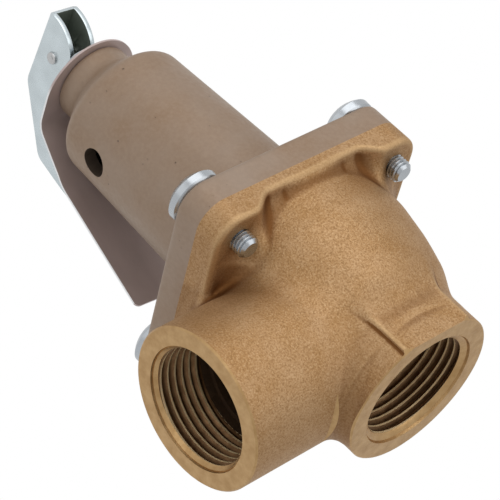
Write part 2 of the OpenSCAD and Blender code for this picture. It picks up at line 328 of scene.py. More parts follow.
def smooth_profile(outline, reach):
    """A radius-by-height curve through a few (height, radius) points, with soft corners."""
    heights = np.arange(outline[0][0] - 10, outline[-1][0] + 10, 0.1)
    radii = np.interp(heights, [p[0] for p in outline], [p[1] for p in outline])
    window = np.hanning(int(reach / 0.1) * 2 + 1)
    padded = np.pad(radii, len(window) // 2, mode="edge")
    return heights, np.convolve(padded, window / window.sum(), mode="valid")


def field_mesh(name, field, low, high, step):
    """The surface where a field is zero, drawn on a grid and then moved exactly onto it."""
    axes = [np.arange(a, b + step, step) for a, b in zip(low, high)]
    grid = np.meshgrid(*[a.astype(np.float32) for a in axes], indexing="ij", sparse=True)
    values = np.asarray(field(*grid), np.float32)
    shape = np.array(values.shape)
    cells, spots, quads = [], [], []
    strides = np.array([shape[1] * shape[2], shape[2], 1])
    for axis in range(3):
        lower = np.take(values, np.arange(shape[axis] - 1), axis)
        upper = np.take(values, np.arange(1, shape[axis]), axis)
        crossing = (lower < 0) != (upper < 0)
        at = np.argwhere(crossing)
        a, b = lower[crossing], upper[crossing]
        spot = at.astype(float)
        spot[:, axis] += a / (a - b)
        u, v = np.eye(3, dtype=int)[(axis + 1) % 3], np.eye(3, dtype=int)[(axis + 2) % 3]
        around = (at - u - v, at - v, at, at - u)
        corners = np.stack([cell @ strides for cell in around], 1)
        corners[a >= 0] = corners[a >= 0][:, ::-1]
        quads.append(corners)
        for k in range(4):
            cells.append(corners[:, k])
            spots.append(spot)
    cells, spots, quads = np.concatenate(cells), np.concatenate(spots), np.concatenate(quads)
    used, index = np.unique(cells, return_inverse=True)
    total = np.stack([np.bincount(index, spots[:, k]) for k in range(3)], 1)
    points = np.array(low) + step * total / np.bincount(index)[:, None]
    for _ in range(3):
        value, slope = field_slope(field, points)
        points -= slope * (value / np.maximum((slope**2).sum(1), 0.2))[:, None]
    faces = np.searchsorted(used, quads)
    return solid(name, points, faces.tolist())


def field_slope(field, points, reach=0.03):
    columns = points.T
    slope = np.empty_like(points)
    for k in range(3):
        shift = np.zeros((3, 1))
        shift[k] = reach
        slope[:, k] = (field(*(columns + shift)) - field(*(columns - shift))) / (2 * reach)
    return field(*columns), slope


def store_relief(obj, field, reach=0.9):
    """Keeps how hollow or raised the cast surface is at each point, for the materials, which darken the
    hollows as painted shade.
    """
    count = len(obj.data.vertices)
    points = np.empty(count * 3)
    obj.data.vertices.foreach_get("co", points)
    columns = points.reshape(-1, 3).T / MM
    bend = -6 * field(*columns)
    for k in range(3):
        shift = np.zeros((3, 1))
        shift[k] = reach
        bend += field(*(columns + shift)) + field(*(columns - shift))
    relief = obj.data.attributes.new("relief", "FLOAT", "POINT")
    relief.data.foreach_set("value", np.clip(bend / reach, -1, 1).astype(np.float32))


# ---------- threads ----------
def helix_solid(name, rows, pitch, low, turns, segments, radius_of, place=None):
    """A closed solid whose side follows a screw thread.

    rows are the places within one pitch, from 0 to 1, where the thread's outline has a point,
    and radius_of gives the radius for (place, height).
    """
    per_turn = len(rows)
    last = turns * per_turn
    points = []
    for j in range(last + 1):
        for i in range(segments):
            height = low + pitch * (j // per_turn + rows[j % per_turn] + i / segments)
            radius = radius_of(rows[j % per_turn], height)
            a = 2 * math.pi * i / segments
            points.append((radius * math.cos(a), radius * math.sin(a), height))
    faces = []
    for j in range(last):
        for i in range(segments - 1):
            k = j * segments + i
            faces.append([k, k + 1, k + segments + 1, k + segments])
    for j in range(last - per_turn):
        a, b = j * segments + segments - 1, (j + per_turn) * segments
        faces.append([a, b, b + segments, a + segments])
    bottom = list(range(segments))
    bottom += [j * segments for j in range(per_turn, 0, -1)]
    top = [last * segments + i for i in range(segments)]
    top += [j * segments + segments - 1 for j in range(last - 1, last - per_turn - 1, -1)]
    for loop, height in ((bottom, low), (top, low + pitch * (turns + 1))):
        centre = len(points)
        points.append((0, 0, height))
        faces += [[loop[i], loop[(i + 1) % len(loop)], centre] for i in range(len(loop))]
    return placed(solid(name, points, faces), place)


def thread_depth(place):
    """How far into its groove a thread is at a place within its pitch, from 0 to 1."""
    return float(np.interp(place, [0, 0.12, 0.5, 0.62, 0.97], [0, 0, 1, 1, 0]))


PIPE_ROWS = [0, 0.12, 0.31, 0.5, 0.62, 0.8, 0.97]
SCREW_ROWS = [0, 0.12, 0.5, 0.62, 0.97]


def port_cutters(name, face, step, place):
    """What the lathe takes out of a port: its face, stepped mouth and tapered thread."""

    def radius_of(spot, height):
        fade = np.clip((THREAD_LEN - 1.6 - height) / 2, 0, 1) * np.clip((height - 1) / 0.8, 0, 1)
        root = THREAD_ROOT_R - height / 32
        return THREAD_R - 0.08 + (root - THREAD_R + 0.08) * thread_depth(spot) * fade

    profile = [(0, -3), (22, -3), (22, 22 - face), (face, 0), (step, 0), (step - 0.13, 0.55)]
    profile += [(step - 0.3, 0.47), (12.6, 1), (THREAD_R, 1.3), (0, 1.3)]
    turned = lathe(name, profile, 160, place)
    crests = rod(name, THREAD_R, 1, THREAD_LEN - 2, 160, place)
    end = rod(name, THREAD_R, THREAD_LEN - 3, THREAD_LEN, 160, place)
    thread = helix_solid(name, PIPE_ROWS, PIPE_PITCH, -PIPE_PITCH, 7, 160, radius_of, place)
    # the thread takes painted shade (index 2), the end a near-black painted shade (index 3) and the
    # crests a painted highlight (index 4)
    return [machined(turned), machined(crests, 4), machined(end, 3), machined(thread, 2)]


# ---------- body ----------
CHAMBER_OUTLINE = [(8, 14.5), (10.2, 17.2), (12.6, 19.6), (15, 21.3), (19.1, 22.6)]
CHAMBER_OUTLINE += [(22.3, 23.5), (30, 25), (44, 25.5)]
CHAMBER = smooth_profile(CHAMBER_OUTLINE, 2)
OUTLET_PLACE = frame_of((0, 0, 1), (0, 1, 0), (-1, 0, 0), (OUTLET_X, 0, OUTLET_H))


def body_field(x, y, z):
    radius = np.hypot(x, y)
    ramp = np.clip(0.5 - (EAR_AT - np.abs(x)) / (2 * EAR_RAMP), 0, 1)
    ramp = ramp * ramp * (3 - 2 * ramp)
    under = PARTING_H - RIM_T - (EAR_T - RIM_T) * ramp
    square = rounded_square(x, y, FLANGE_HALF, FLANGE_R)
    flange = rounded_both(square, slab(z, under, PARTING_H + 2), 1.0)
    chamber = np.maximum(0.92 * (radius - np.interp(z, *CHAMBER)), slab(z, 8.5, PARTING_H + 2))
    pad = np.maximum(np.abs(x) - FLAT_HALF_W, -y)
    section = rounded_both(np.minimum(radius - COLLAR_R, pad), y - FLAT_Y, 0.5)
    collar = np.maximum(section, slab(z, -2, 16))
    boss = np.maximum(np.hypot(y, z - OUTLET_H) - OUTLET_R, slab(x, 0, OUTLET_X + 1))
    shape = melted(chamber, collar, 4.0)
    shape = melted(shape, boss, 3.4)
    corner = np.clip((np.minimum(np.abs(x), np.abs(y)) - 8) / 8, 0, 1)
    shape = filleted(shape, flange, 2.4 + 2.6 * corner)
    sides = np.maximum(np.abs(y), -x) - FLANGE_HALF
    return np.maximum(shape, np.maximum(sides, z - PARTING_H - 2))


def build_body():
    low = (-FLANGE_HALF - 1, -FLANGE_HALF - 1, -2.5)
    high = (OUTLET_X + 2, FLANGE_HALF + 1, PARTING_H + 3)
    cast = field_mesh("cast_body", body_field, low, high, 0.45)
    passage = rod("passage", PASSAGE_R, 6, 26, 96, OUTLET_PLACE)
    cavity = [(0, FLOOR_TOP), (17.5, FLOOR_TOP), (CHAMBER_R, SEAT_H), (CHAMBER_R, PARTING_H)]
    cavity += [(60, PARTING_H), (60, PARTING_H + 5), (0, PARTING_H + 5)]
    nozzle = rod("nozzle", NOZZLE_R, 13, 23, 96)
    holes = [
        rod("hole", SCREW_R + 0.02, 34, 45, 48, Matrix.Translation((x, y, 0)))
        for x in (-SCREW_AT, SCREW_AT)
        for y in (-SCREW_AT, SCREW_AT)
    ]
    # index 3 gives the chamber, passage and nozzle a near-black painted shade
    tools = [machined(lathe("cavity", cavity, 128), 3), machined(passage, 3), machined(nozzle, 3)]
    tools += [machined(h) for h in holes]
    tools += port_cutters("inlet", COLLAR_R - 0.25, 13.9, None)
    tools += port_cutters("outlet", OUTLET_R - 0.35, 13.3, OUTLET_PLACE)
    machined(cast, 0)
    combine(cast, tools)
    store_relief(cast, body_field)
    return smooth(cast, 32)


# ---------- bonnet ----------
def bonnet_profile():
    """The barrel's radius by height: a slight taper, a sloping shoulder and the neck."""
    neck = SHOULDER_H + (SHOULDER_R - BOSS_R) / math.tan(SHOULDER_SLOPE)
    corners = [(BONNET_TOP - 8, BARREL_R + 0.15), (SHOULDER_H, SHOULDER_R, 2.6)]
    corners += [(neck, BOSS_R, 4), (BOSS_H + 2, BOSS_R)]
    return smooth_profile(rounded_path(corners), 0.5)


BARREL = bonnet_profile()


def bonnet_field(x, y, z):
    radius = np.hypot(x, y)
    square = rounded_square(x, y, FLANGE_HALF, FLANGE_R)
    flange = rounded_both(square, slab(z, PARTING_H - 2, BONNET_TOP), 0.8)
    slope = np.interp(z, BARREL[0], np.gradient(BARREL[1], BARREL[0]))
    barrel = (radius - np.interp(z, *BARREL)) / np.sqrt(1 + slope**2)
    barrel = rounded_both(barrel, slab(z, PARTING_H - 2, BOSS_H), 0.7)
    return filleted(flange, barrel, 1.7)


def build_bonnet():
    low = (-FLANGE_HALF - 1, -FLANGE_HALF - 1, PARTING_H - 3)
    high = (FLANGE_HALF + 2, FLANGE_HALF + 1, BOSS_H + 2)
    cast = field_mesh("painted_bonnet", bonnet_field, low, high, 0.5)
    machined(cast, 0)
    ceiling = SHOULDER_H - 1.4
    recess_r, recess_h = 25.3, PARTING_H + SHEET_T
    cavity = [(0, PARTING_H - 5), (60, PARTING_H - 5), (60, PARTING_H), (recess_r, PARTING_H)]
    cavity += [(recess_r, recess_h), (CHAMBER_R, recess_h), (13.6, BONNET_TOP + 0.4)]
    cavity += [(12.9, ceiling - 3), (9.9, ceiling)]
    cavity += [(SLEEVE_R + 0.05, ceiling), (SLEEVE_R + 0.05, 110), (0, 110)]
    weep_place = frame_of((0, 0, -1), (0, 1, 0), (1, 0, 0), (0, 0, WEEP_H))
    weep = rod("weep", WEEP_R, 0, 30, 64, weep_place)
    # index 1 gives the cavity and weep hole the bare casting darkened as painted shade
    combine(cast, [machined(lathe("cavity", cavity, 128)), machined(weep)])
    store_relief(cast, bonnet_field)
    return smooth(cast, 32)


# ---------- small parts ----------
def dome(radius, rise, low, steps=10):
    """Profile points of a round head from its rim up to the axis."""
    ball = (radius**2 + rise**2) / (2 * rise)
    reach = math.asin(min(radius / ball, 1))
    centre = low + rise - ball
    angles = [reach * (1 - k / steps) for k in range(steps + 1)]
    return [(ball * math.sin(a), centre + ball * math.cos(a)) for a in angles]


def build_screws():
    """Four round-head screws with real threads on the ends that show below the ears."""
    pitch = 25.4 / 32
    rim = BONNET_TOP + 2
    head = dome(HEAD_R, SCREW_HIGH - rim, rim)
    profile = [(0, SCREW_LOW + 3.5), (SCREW_R, SCREW_LOW + 3.5), (SCREW_R, BONNET_TOP)]
    profile += [(HEAD_R - 0.7, BONNET_TOP), (HEAD_R - 0.1, BONNET_TOP + 0.55)] + head

    def radius_of(spot, height):
        return SCREW_R - 0.5 * thread_depth(spot)

    made = None
    for k, (x, y) in enumerate(((1, 1), (-1, 1), (-1, -1), (1, -1))):
        turn = Matrix.Rotation(0.7 + 1.3 * k, 4, "Z")
        screw = lathe("screw", profile, 72)
        thread = helix_solid("end", SCREW_ROWS, pitch, SCREW_LOW - 1.5 * pitch, 7, 48, radius_of)
        end = [(0, SCREW_LOW), (SCREW_R - 0.75, SCREW_LOW), (SCREW_R + 0.02, SCREW_LOW + 0.8)]
        end += [(SCREW_R + 0.02, SCREW_LOW + 4), (0, SCREW_LOW + 4)]
        combine(thread, [lathe("end", end, 48)], "INTERSECT")
        combine(screw, [thread], "UNION")
        outline = [(-8, -0.65), (8, -0.65), (8, 0.65), (-8, 0.65)]
        slot = prism("slot", outline, SCREW_HIGH - 1.7, SCREW_HIGH + 1)
        combine(screw, [slot])
        screw.data.transform(turn)
        screw.data.transform(Matrix.Translation(Vector((x, y, 0)) * SCREW_AT * MM))
        if made is None:
            made = screw
        else:
            join = bmesh.new()
            join.from_mesh(made.data)
            join.from_mesh(screw.data)
            join.to_mesh(made.data)
            join.free()
            bpy.data.objects.remove(screw)
    made.name = "screws"
    return smooth(made, 30)


OUTWARD = (math.sin(TOP_TURN), -math.cos(TOP_TURN), 0)  # from the axis towards the handle
ACROSS = (math.cos(TOP_TURN), math.sin(TOP_TURN), 0)
FRONT_VIEW = frame_of(ACROSS, (0, 0, 1), OUTWARD, (0, 0, 0))
SIDE_VIEW = frame_of(OUTWARD, (0, 0, 1), [-c for c in ACROSS], (0, 0, 0))
PIN_VIEW = frame_of(OUTWARD, (0, 0, 1), [-c for c in ACROSS], (0, 0, PIN_H))


def build_nameplate():
    path = rounded_path([(PLATE_SHIFT, PLATE_TOP), (9.6, PLATE_TOP, 5), (18.3, 93.6, 9), (27.7, 63.4)])
    outline = path + beside(path, PLATE_T)[::-1]
    plate = prism("nameplate_sheet", outline, -PLATE_HALF_W - 4, PLATE_HALF_W + 4, SIDE_VIEW)
    edge = [(PLATE_HALF_W, PLATE_TOP + 1), (PLATE_HALF_W, PLATE_BEND_H)]
    edge += [(PLATE_TIP_HALF_W, path[-1][1] - 1)]
    front = [(-x, z) for x, z in edge] + edge[::-1]
    combine(plate, [prism("front", front, 0, 50, FRONT_VIEW)], "INTERSECT")
    back = [math.radians(a) for a in range(0, 181, 4)]
    head = [(PLATE_HALF_W * math.cos(a), PLATE_HALF_W * math.sin(a) - PLATE_SHIFT) for a in back]
    head += [(-PLATE_HALF_W, -PLATE_SHIFT - 0.5), (PLATE_HALF_W, -PLATE_SHIFT - 0.5)]
    turn = Matrix.Rotation(TOP_TURN, 4, "Z")
    combine(plate, [prism("head", head, PLATE_TOP - PLATE_T, PLATE_TOP, turn)], "UNION")
    end, up = path[-1], unit(path[-2] - path[-1])
    x_axis, y_axis = Vector(ACROSS), Vector(OUTWARD) * up[0] + Vector((0, 0, up[1]))
    origin = Vector(OUTWARD) * end[0] + Vector((0, 0, end[1]))
    tip_view = frame_of(x_axis, y_axis, x_axis.cross(y_axis), origin)
    corner = 1.4
    start = PLATE_TIP_HALF_W - corner
    quarter = [math.radians(a) for a in range(0, 91, 6)]
    for side in (-1, 1):
        notch = [(side * (start + corner * math.sin(a)), corner * (1 - math.cos(a))) for a in quarter]
        beyond = side * (PLATE_TIP_HALF_W + 2)
        notch += [(beyond, corner), (beyond, -2), (side * start, -2)]
        combine(plate, [prism("corner", notch, -4, 4, tip_view)])
    combine(plate, [rod("hole", SLEEVE_R + 0.15, 100, 110, 64)])
    soft_edges(plate, 0.12, 2, 50)
    return smooth(plate, 40)


def build_lever():
    web = [(-9.3, 4.3), (10.2, 6.095, 4), (26, -3.3, 4), (28.5, -13.5, 12), (29.2, -29, 7), (31, -34.6)]
    web = rounded_path(web)
    edge = [(29.1, -35.2), (25, -28.4, 5), (22.8, -9.6, 5), (12.5, -5.7, 6), (-1.4, -5.65)]
    edge = rounded_path(edge)
    heel = [math.radians(a) for a in range(264, 179, -6)]
    heel = [(-0.5 + 9.2 * math.cos(a), 3.5 + 9.2 * math.sin(a)) for a in heel]
    half = LEVER_W / 2
    lever = prism("lever_channel", list(map(tuple, web + edge)) + heel, -half, half, PIN_VIEW)
    machined(lever, 0)
    work = bmesh.new()
    work.from_mesh(lever.data)
    work.verts.ensure_lookup_table()
    count = len(web) + len(edge) + len(heel)
    folds = []
    for start in (0, count):
        for i in range(len(web) - 1):
            folds.append(work.edges.get((work.verts[start + i], work.verts[start + i + 1])))
    bmesh.ops.bevel(work, geom=folds, offset=0.8 * MM, segments=5, profile=0.5, affect="EDGES")
    work.to_mesh(lever.data)
    work.free()
    inside = [(-30, 2.5)] + list(map(tuple, beside(web, LEVER_T))) + [(31, -60), (-30, -60)]
    half -= LEVER_T
    # index 1 gives the channel's inside the dark painted shade
    combine(lever, [machined(prism("inside", inside, -half, half, PIN_VIEW))])
    combine(lever, [rod("hole", 1.02, -9, 9, 48, PIN_VIEW)])
    soft_edges(lever, 0.12, 2, 50)
    return smooth(lever, 40)


def build_pin():
    """A rivet with a rolled ring on each end."""
    end = LEVER_W / 2 + 0.5
    side = [(0, end - 0.25), (0.55, end - 0.22), (0.8, end - 0.02), (1.05, end)]
    side += [(1.3, end - 0.1), (1.4, end - 0.3), (1.4, end - 0.5), (1, end - 0.5)]
    profile = [(r, z) for r, z in side] + [(r, -z) for r, z in side[::-1]]
    return smooth(lathe("rivet", profile, 64, PIN_VIEW), 50)


def build_lock_nut():
    low, high = PLATE_TOP, NUT_TOP
    flats = 6.5
    reach = flats / math.cos(math.pi / 6)
    angles = [math.pi / 3 * k for k in range(6)]
    hexagon = [(reach * math.cos(a), reach * math.sin(a)) for a in angles]
    nut = prism("hex_nut", hexagon, low, high)
    turned = [(0, low), (flats, low), (flats + 1.2, low + 0.5)]
    turned += [(r, low + high - z) for r, z in turned[::-1]]
    combine(nut, [lathe("turned", turned, 96)], "INTERSECT")
    bore = [(0, low - 1), (SLEEVE_R + 0.02, low - 1), (SLEEVE_R + 0.02, high - 0.35)]
    bore += [(SLEEVE_R + 0.5, high + 0.15), (0, high + 0.15)]
    combine(nut, [lathe("bore", bore, 72)])
    return smooth(nut, 30)


def build_spring():
    """The wire as a smooth coil with one closed turn at each end."""
    wire = 1.4
    middle = SPRING_R - wire
    turns, closed = 7.5, 2 * wire + 0.1
    span = SPRING_HIGH - SPRING_LOW - 2 * wire
    opened = (span - 2 * closed) / (turns - 2)
    per_turn, sides = 48, 14
    points = []
    for i in range(int(turns * per_turn) + 1):
        t = i / per_turn
        lift = t * closed if t < 1 else closed + (min(t, turns - 1) - 1) * opened
        lift += max(0, t - turns + 1) * closed
        a = 2 * math.pi * t
        for k in range(sides):
            b = 2 * math.pi * k / sides
            r = middle + wire * math.cos(b)
            z = SPRING_LOW + wire + lift + wire * math.sin(b)
            points.append((r * math.cos(a), r * math.sin(a), z))
    rings = len(points) // sides
    faces = [list(range(sides)), list(range((rings - 1) * sides, rings * sides))]
    for i in range(rings - 1):
        for k in range(sides):
            a, b = i * sides + k, i * sides + (k + 1) % sides
            faces.append([a, b, b + sides, a + sides])
    return smooth(solid("coil", points, faces), 50)


def build_diaphragm():
    """Rubber sheet, flat under the bonnet's rim and dished up to its plates."""
    low, centre = PARTING_H, DISH_TOP - SHEET_T
    clamp_r, plate_r, steps = 20.3, 11.0, 16
    lower = [(25, low), (clamp_r, low)]
    for k in range(1, steps + 1):
        rise = 0.5 - 0.5 * math.cos(math.pi * k / steps)
        lower.append((clamp_r - (clamp_r - plate_r) * k / steps, low + (centre - low) * rise))
    lower.append((3, centre))
    upper = [(r, z + SHEET_T) for r, z in lower[::-1]]
    return smooth(ring_solid("rubber_sheet", lower + upper, 96), 50)


# ---------- materials ----------
RANGE_KEYS = ("From Min", "From Max", "To Min", "To Max")


class Finish:
    """One node material on a Principled shader, with patterns sized in millimetres."""

    def __init__(self, name, color, metallic, roughness):
        self.material = bpy.data.materials.new(name)
        self.material.use_nodes = True
        self.tree = self.material.node_tree
        self.shader = self.tree.nodes["Principled BSDF"]
        self.set("Base Color", (*color, 1))
        self.set("Metallic", metallic)
        self.set("Roughness", roughness)
        self.coords = self.add("ShaderNodeTexCoord").outputs["Object"]
        self.height = None

    def add(self, kind, **settings):
        node = self.tree.nodes.new(kind)
        for key, value in settings.items():
            setattr(node, key, value)
        return node

    def put(self, value, socket):
        if isinstance(value, bpy.types.NodeSocket):
            self.tree.links.new(value, socket)
        else:
            socket.default_value = value

    def set(self, name, value):
        self.put(value, self.shader.inputs[name])

    def stretched(self, scale):
        node = self.add("ShaderNodeVectorMath", operation="MULTIPLY")
        self.put(self.coords, node.inputs[0])
        node.inputs[1].default_value = scale
        return node.outputs[0]

    def noise(self, size, detail=2, roughness=0.5, stretch=(1, 1, 1), distortion=0):
        node = self.add("ShaderNodeTexNoise")
        self.put(self.stretched(stretch), node.inputs["Vector"])
        node.inputs["Scale"].default_value = 1 / (size * MM)
        node.inputs["Detail"].default_value = detail
        node.inputs["Roughness"].default_value = roughness
        node.inputs["Distortion"].default_value = distortion
        return node.outputs[0]

    def cells(self, size, feature="F1"):
        node = self.add("ShaderNodeTexVoronoi", feature=feature)
        self.put(self.coords, node.inputs["Vector"])
        node.inputs["Scale"].default_value = 1 / (size * MM)
        return node.outputs["Distance"]

    def attribute(self, name):
        return self.add("ShaderNodeAttribute", attribute_name=name).outputs["Fac"]

    def math(self, operation, a, b):
        node = self.add("ShaderNodeMath", operation=operation)
        self.put(a, node.inputs[0])
        self.put(b, node.inputs[1])
        return node.outputs[0]

    def spread(self, value, low, high, to_low=0.0, to_high=1.0):
        """Maps a value's range onto another, held at both ends."""
        node = self.add("ShaderNodeMapRange")
        self.put(value, node.inputs["Value"])
        for key, number in zip(RANGE_KEYS, (low, high, to_low, to_high)):
            node.inputs[key].default_value = number
        return node.outputs[0]

    def mix(self, share, a, b):
        """Colour a where share is 0 and b where it is 1."""
        node = self.add("ShaderNodeMix", data_type="RGBA")
        self.put(share, node.inputs[0])
        for value, socket in ((a, node.inputs[6]), (b, node.inputs[7])):
            self.put(value if isinstance(value, bpy.types.NodeSocket) else (*value, 1), socket)
        return node.outputs[2]

    def bump(self, height, depth, strength=1.0):
        """Adds relief; depth in millimetres."""
        node = self.add("ShaderNodeBump")
        node.inputs["Distance"].default_value = depth * MM
        node.inputs["Strength"].default_value = strength
        self.put(height, node.inputs["Height"])
        if self.height is not None:
            self.put(self.height, node.inputs["Normal"])
        self.height = node.outputs[0]
        self.set("Normal", self.height)


def cast_bronze():
    f = Finish("cast_bronze", (0.4, 0.24, 0.11), 0.88, 0.55)
    blotch = f.spread(f.noise(7, 3, 0.6), 0.35, 0.65)
    grain = f.noise(0.36, 2, 0.5, distortion=0.6)
    color = f.mix(blotch, (0.45, 0.278, 0.14), (0.39, 0.222, 0.094))
    color = f.mix(f.spread(grain, 0.5, 0.68, 0, 0.42), color, (0.56, 0.385, 0.22))
    color = f.mix(f.spread(grain, 0.48, 0.34, 0, 0.48), color, (0.25, 0.135, 0.05))
    # painted shade: concave fillets and creases of the casting are darkened towards dark brown where
    # shade falls
    hollow = f.spread(f.attribute("relief"), -0.04, -0.42)
    color = f.mix(hollow, color, (0.17, 0.07, 0.02))
    raised = f.spread(f.attribute("relief"), 0.12, 0.6, 0, 0.5)
    f.set("Base Color", f.mix(raised, color, (0.56, 0.38, 0.2)))
    f.set("Roughness", f.spread(grain, 0.3, 0.7, 0.62, 0.5))
    f.bump(f.noise(2.4, 2, 0.5), 0.06)
    f.bump(grain, 0.07)
    return f.material


def machined_bronze():
    f = Finish("machined_bronze", (0.55, 0.36, 0.17), 1.0, 0.36)
    tone = f.spread(f.noise(3, 3, 0.6), 0.35, 0.65)
    color = f.mix(tone, (0.56, 0.365, 0.175), (0.45, 0.275, 0.12))
    f.set("Base Color", color)
    f.set("Roughness", f.spread(f.noise(0.6, 2, 0.6), 0.3, 0.7, 0.32, 0.48))
    f.bump(f.noise(0.4, 2, 0.6), 0.015)
    return f.material


# painted shade: the thread flanks take a much darker copy of the turned bronze, standing in for shade
# in the grooves
def thread_shade_bronze():
    f = Finish("thread_shade_bronze", (0.4, 0.24, 0.11), 1.0, 0.42)
    tone = f.spread(f.noise(2, 3, 0.6), 0.35, 0.65)
    f.set("Base Color", f.mix(tone, (0.22, 0.125, 0.06), (0.15, 0.08, 0.037)))
    f.set("Roughness", f.spread(f.noise(0.6, 2, 0.6), 0.3, 0.7, 0.36, 0.52))
    f.bump(f.noise(0.5, 2, 0.6), 0.02)
    return f.material


# painted highlight: the thread crests take a much lighter copy of the turned bronze, standing in for
# light caught on them
def crest_highlight_bronze():
    f = Finish("crest_highlight_bronze", (0.95, 0.74, 0.45), 0.5, 0.5)
    f.set("Base Color", f.mix(f.noise(2, 3, 0.6), (0.98, 0.78, 0.48), (0.85, 0.62, 0.34)))
    f.set("Roughness", f.spread(f.noise(0.6, 2, 0.6), 0.3, 0.7, 0.45, 0.55))
    f.bump(f.noise(0.5, 2, 0.6), 0.01)
    return f.material


# painted shade: near-black bronze for the bores, chamber and passages, where there is only shade
def inner_shade_bronze():
    f = Finish("inner_shade_bronze", (0.05, 0.026, 0.012), 0.5, 0.75)
    f.set("Base Color", f.mix(f.noise(1.5, 3, 0.6), (0.035, 0.018, 0.008), (0.08, 0.042, 0.018)))
    f.bump(f.noise(0.6, 3, 0.6), 0.05)
    return f.material


def bonnet_paint():
    f = Finish("bonnet_paint", (0.3, 0.225, 0.165), 0.3, 0.45)
    tone = f.spread(f.noise(16, 3, 0.55), 0.35, 0.65)
    color = f.mix(tone, (0.29, 0.212, 0.155), (0.262, 0.172, 0.108))
    color = f.mix(f.spread(f.noise(0.9, 3, 0.6), 0.4, 0.7, 0, 0.35), color, (0.34, 0.25, 0.18))
    near = f.spread(f.cells(2.2), 0.12, 0.06)
    pits = f.math("MULTIPLY", near, f.spread(f.noise(4, 1), 0.54, 0.62))
    color = f.mix(f.math("MULTIPLY", pits, 0.6), color, (0.07, 0.045, 0.03))
    # painted shade: creases of the paint, such as at the neck, are darkened where shade falls
    hollow = f.spread(f.attribute("relief"), -0.3, -0.9, 0, 0.6)
    f.set("Base Color", f.mix(hollow, color, (0.08, 0.05, 0.03)))
    f.set("Roughness", f.spread(f.noise(1.2, 2, 0.5), 0.3, 0.7, 0.4, 0.52))
    f.bump(f.noise(3, 2, 0.5), 0.05)
    f.bump(f.noise(0.5, 2, 0.6), 0.02)
    f.bump(pits, -0.15)
    return f.material


# bare casting darkened towards black as painted shade inside the bonnet
def bare_shaded_casting():
    f = Finish("bonnet_inside_shaded", (0.06, 0.042, 0.03), 0.3, 0.7)
    f.set("Base Color", f.mix(f.noise(1.5, 3, 0.6), (0.045, 0.03, 0.02), (0.09, 0.062, 0.042)))
    f.bump(f.noise(0.6, 3, 0.6), 0.05)
    return f.material


def plated_steel(name, color, roughness, brush=(1, 1, 1), metallic=1.0):
    f = Finish(name, color, metallic, roughness)
    cloud = f.spread(f.noise(5, 3, 0.5, brush), 0.3, 0.7)
    darker = tuple(0.86 * c for c in color)
    f.set("Base Color", f.mix(cloud, color, darker))
    wear = f.noise(1.1, 3, 0.5, brush)
    f.set("Roughness", f.spread(wear, 0.3, 0.7, roughness * 0.9, roughness * 1.15))
    f.bump(f.noise(3, 1, 0.5, brush), 0.01)
    return f.material


def nameplate_satin():
    """Satin aluminium; its back, which faces the bonnet, is coloured dark brown as a painted reflection
    of the bonnet and painted shade.
    """
    f = Finish("nameplate_satin", (0.85, 0.85, 0.85), 1.0, 0.4)
    cloud = f.spread(f.noise(5, 3, 0.5, (1, 1, 0.15)), 0.3, 0.7)
    front = f.mix(cloud, (0.9, 0.9, 0.9), (0.8, 0.8, 0.8))
    # painted reflection and painted shade: the back takes a dark brown standing in for the bonnet
    # reflected in it
    back_reflection_shade = f.mix(cloud, (0.5, 0.405, 0.385), (0.43, 0.345, 0.325))
    outwards = f.add("ShaderNodeVectorMath", operation="DOT_PRODUCT")
    f.put(f.add("ShaderNodeTexCoord").outputs["Normal"], outwards.inputs[0])
    outwards.inputs[1].default_value = (OUTWARD[0], OUTWARD[1], 1)
    side = f.spread(outwards.outputs["Value"], -0.3, -0.1)
    f.set("Base Color", f.mix(side, back_reflection_shade, front))
    f.set("Metallic", f.spread(side, 0, 1, 0.35, 1))
    f.set("Roughness", f.spread(f.noise(1.1, 3, 0.5, (1, 1, 0.15)), 0.3, 0.7, 0.36, 0.46))
    f.bump(f.noise(3, 1, 0.5), 0.01)
    return f.material


def brass():
    f = Finish("trim_brass", (0.75, 0.52, 0.2), 1.0, 0.3)
    f.set("Base Color", f.mix(f.noise(3, 3, 0.6), (0.72, 0.5, 0.2), (0.58, 0.36, 0.12)))
    f.set("Roughness", f.spread(f.noise(0.7, 2), 0.3, 0.7, 0.24, 0.4))
    f.bump(f.noise(0.4, 2), 0.015)
    return f.material


def rubber(name, color):
    f = Finish(name, color, 0.0, 0.7)
    f.set("Base Color", f.mix(f.noise(2, 3, 0.6), color, tuple(1.6 * c for c in color)))
    f.set("Roughness", f.spread(f.noise(0.5, 2), 0.3, 0.7, 0.6, 0.8))
    f.bump(f.noise(0.4, 2), 0.03)
    return f.material


BRONZE, TURNED, THREAD_SHADE = cast_bronze(), machined_bronze(), thread_shade_bronze()
INNER_SHADE, CREST_HIGHLIGHT = inner_shade_bronze(), crest_highlight_bronze()
PAINT, BARE_SHADED = bonnet_paint(), bare_shaded_casting()
ZINC = plated_steel("zinc_steel", (0.52, 0.55, 0.58), 0.26)
LEVER_PLATE = plated_steel("lever_steel", (0.68, 0.755, 0.785), 0.26)
# painted shade: the inside of the lever's channel takes a dark copy of the lever steel
LEVER_INSIDE_SHADE = plated_steel("lever_inside_shade", (0.19, 0.22, 0.185), 0.45, metallic=0.6)
SATIN = nameplate_satin()
BRIGHT = plated_steel("bright_steel", (0.62, 0.62, 0.62), 0.25)
SPRING = plated_steel("spring_steel", (0.32, 0.33, 0.35), 0.35)
BRASS = brass()
SEAT_RUBBER = rubber("seat_rubber", (0.02, 0.02, 0.02))
DIAPHRAGM_RUBBER = rubber("diaphragm_rubber", (0.025, 0.025, 0.028))
FIBRE = rubber("gasket_fibre", (0.22, 0.09, 0.04))

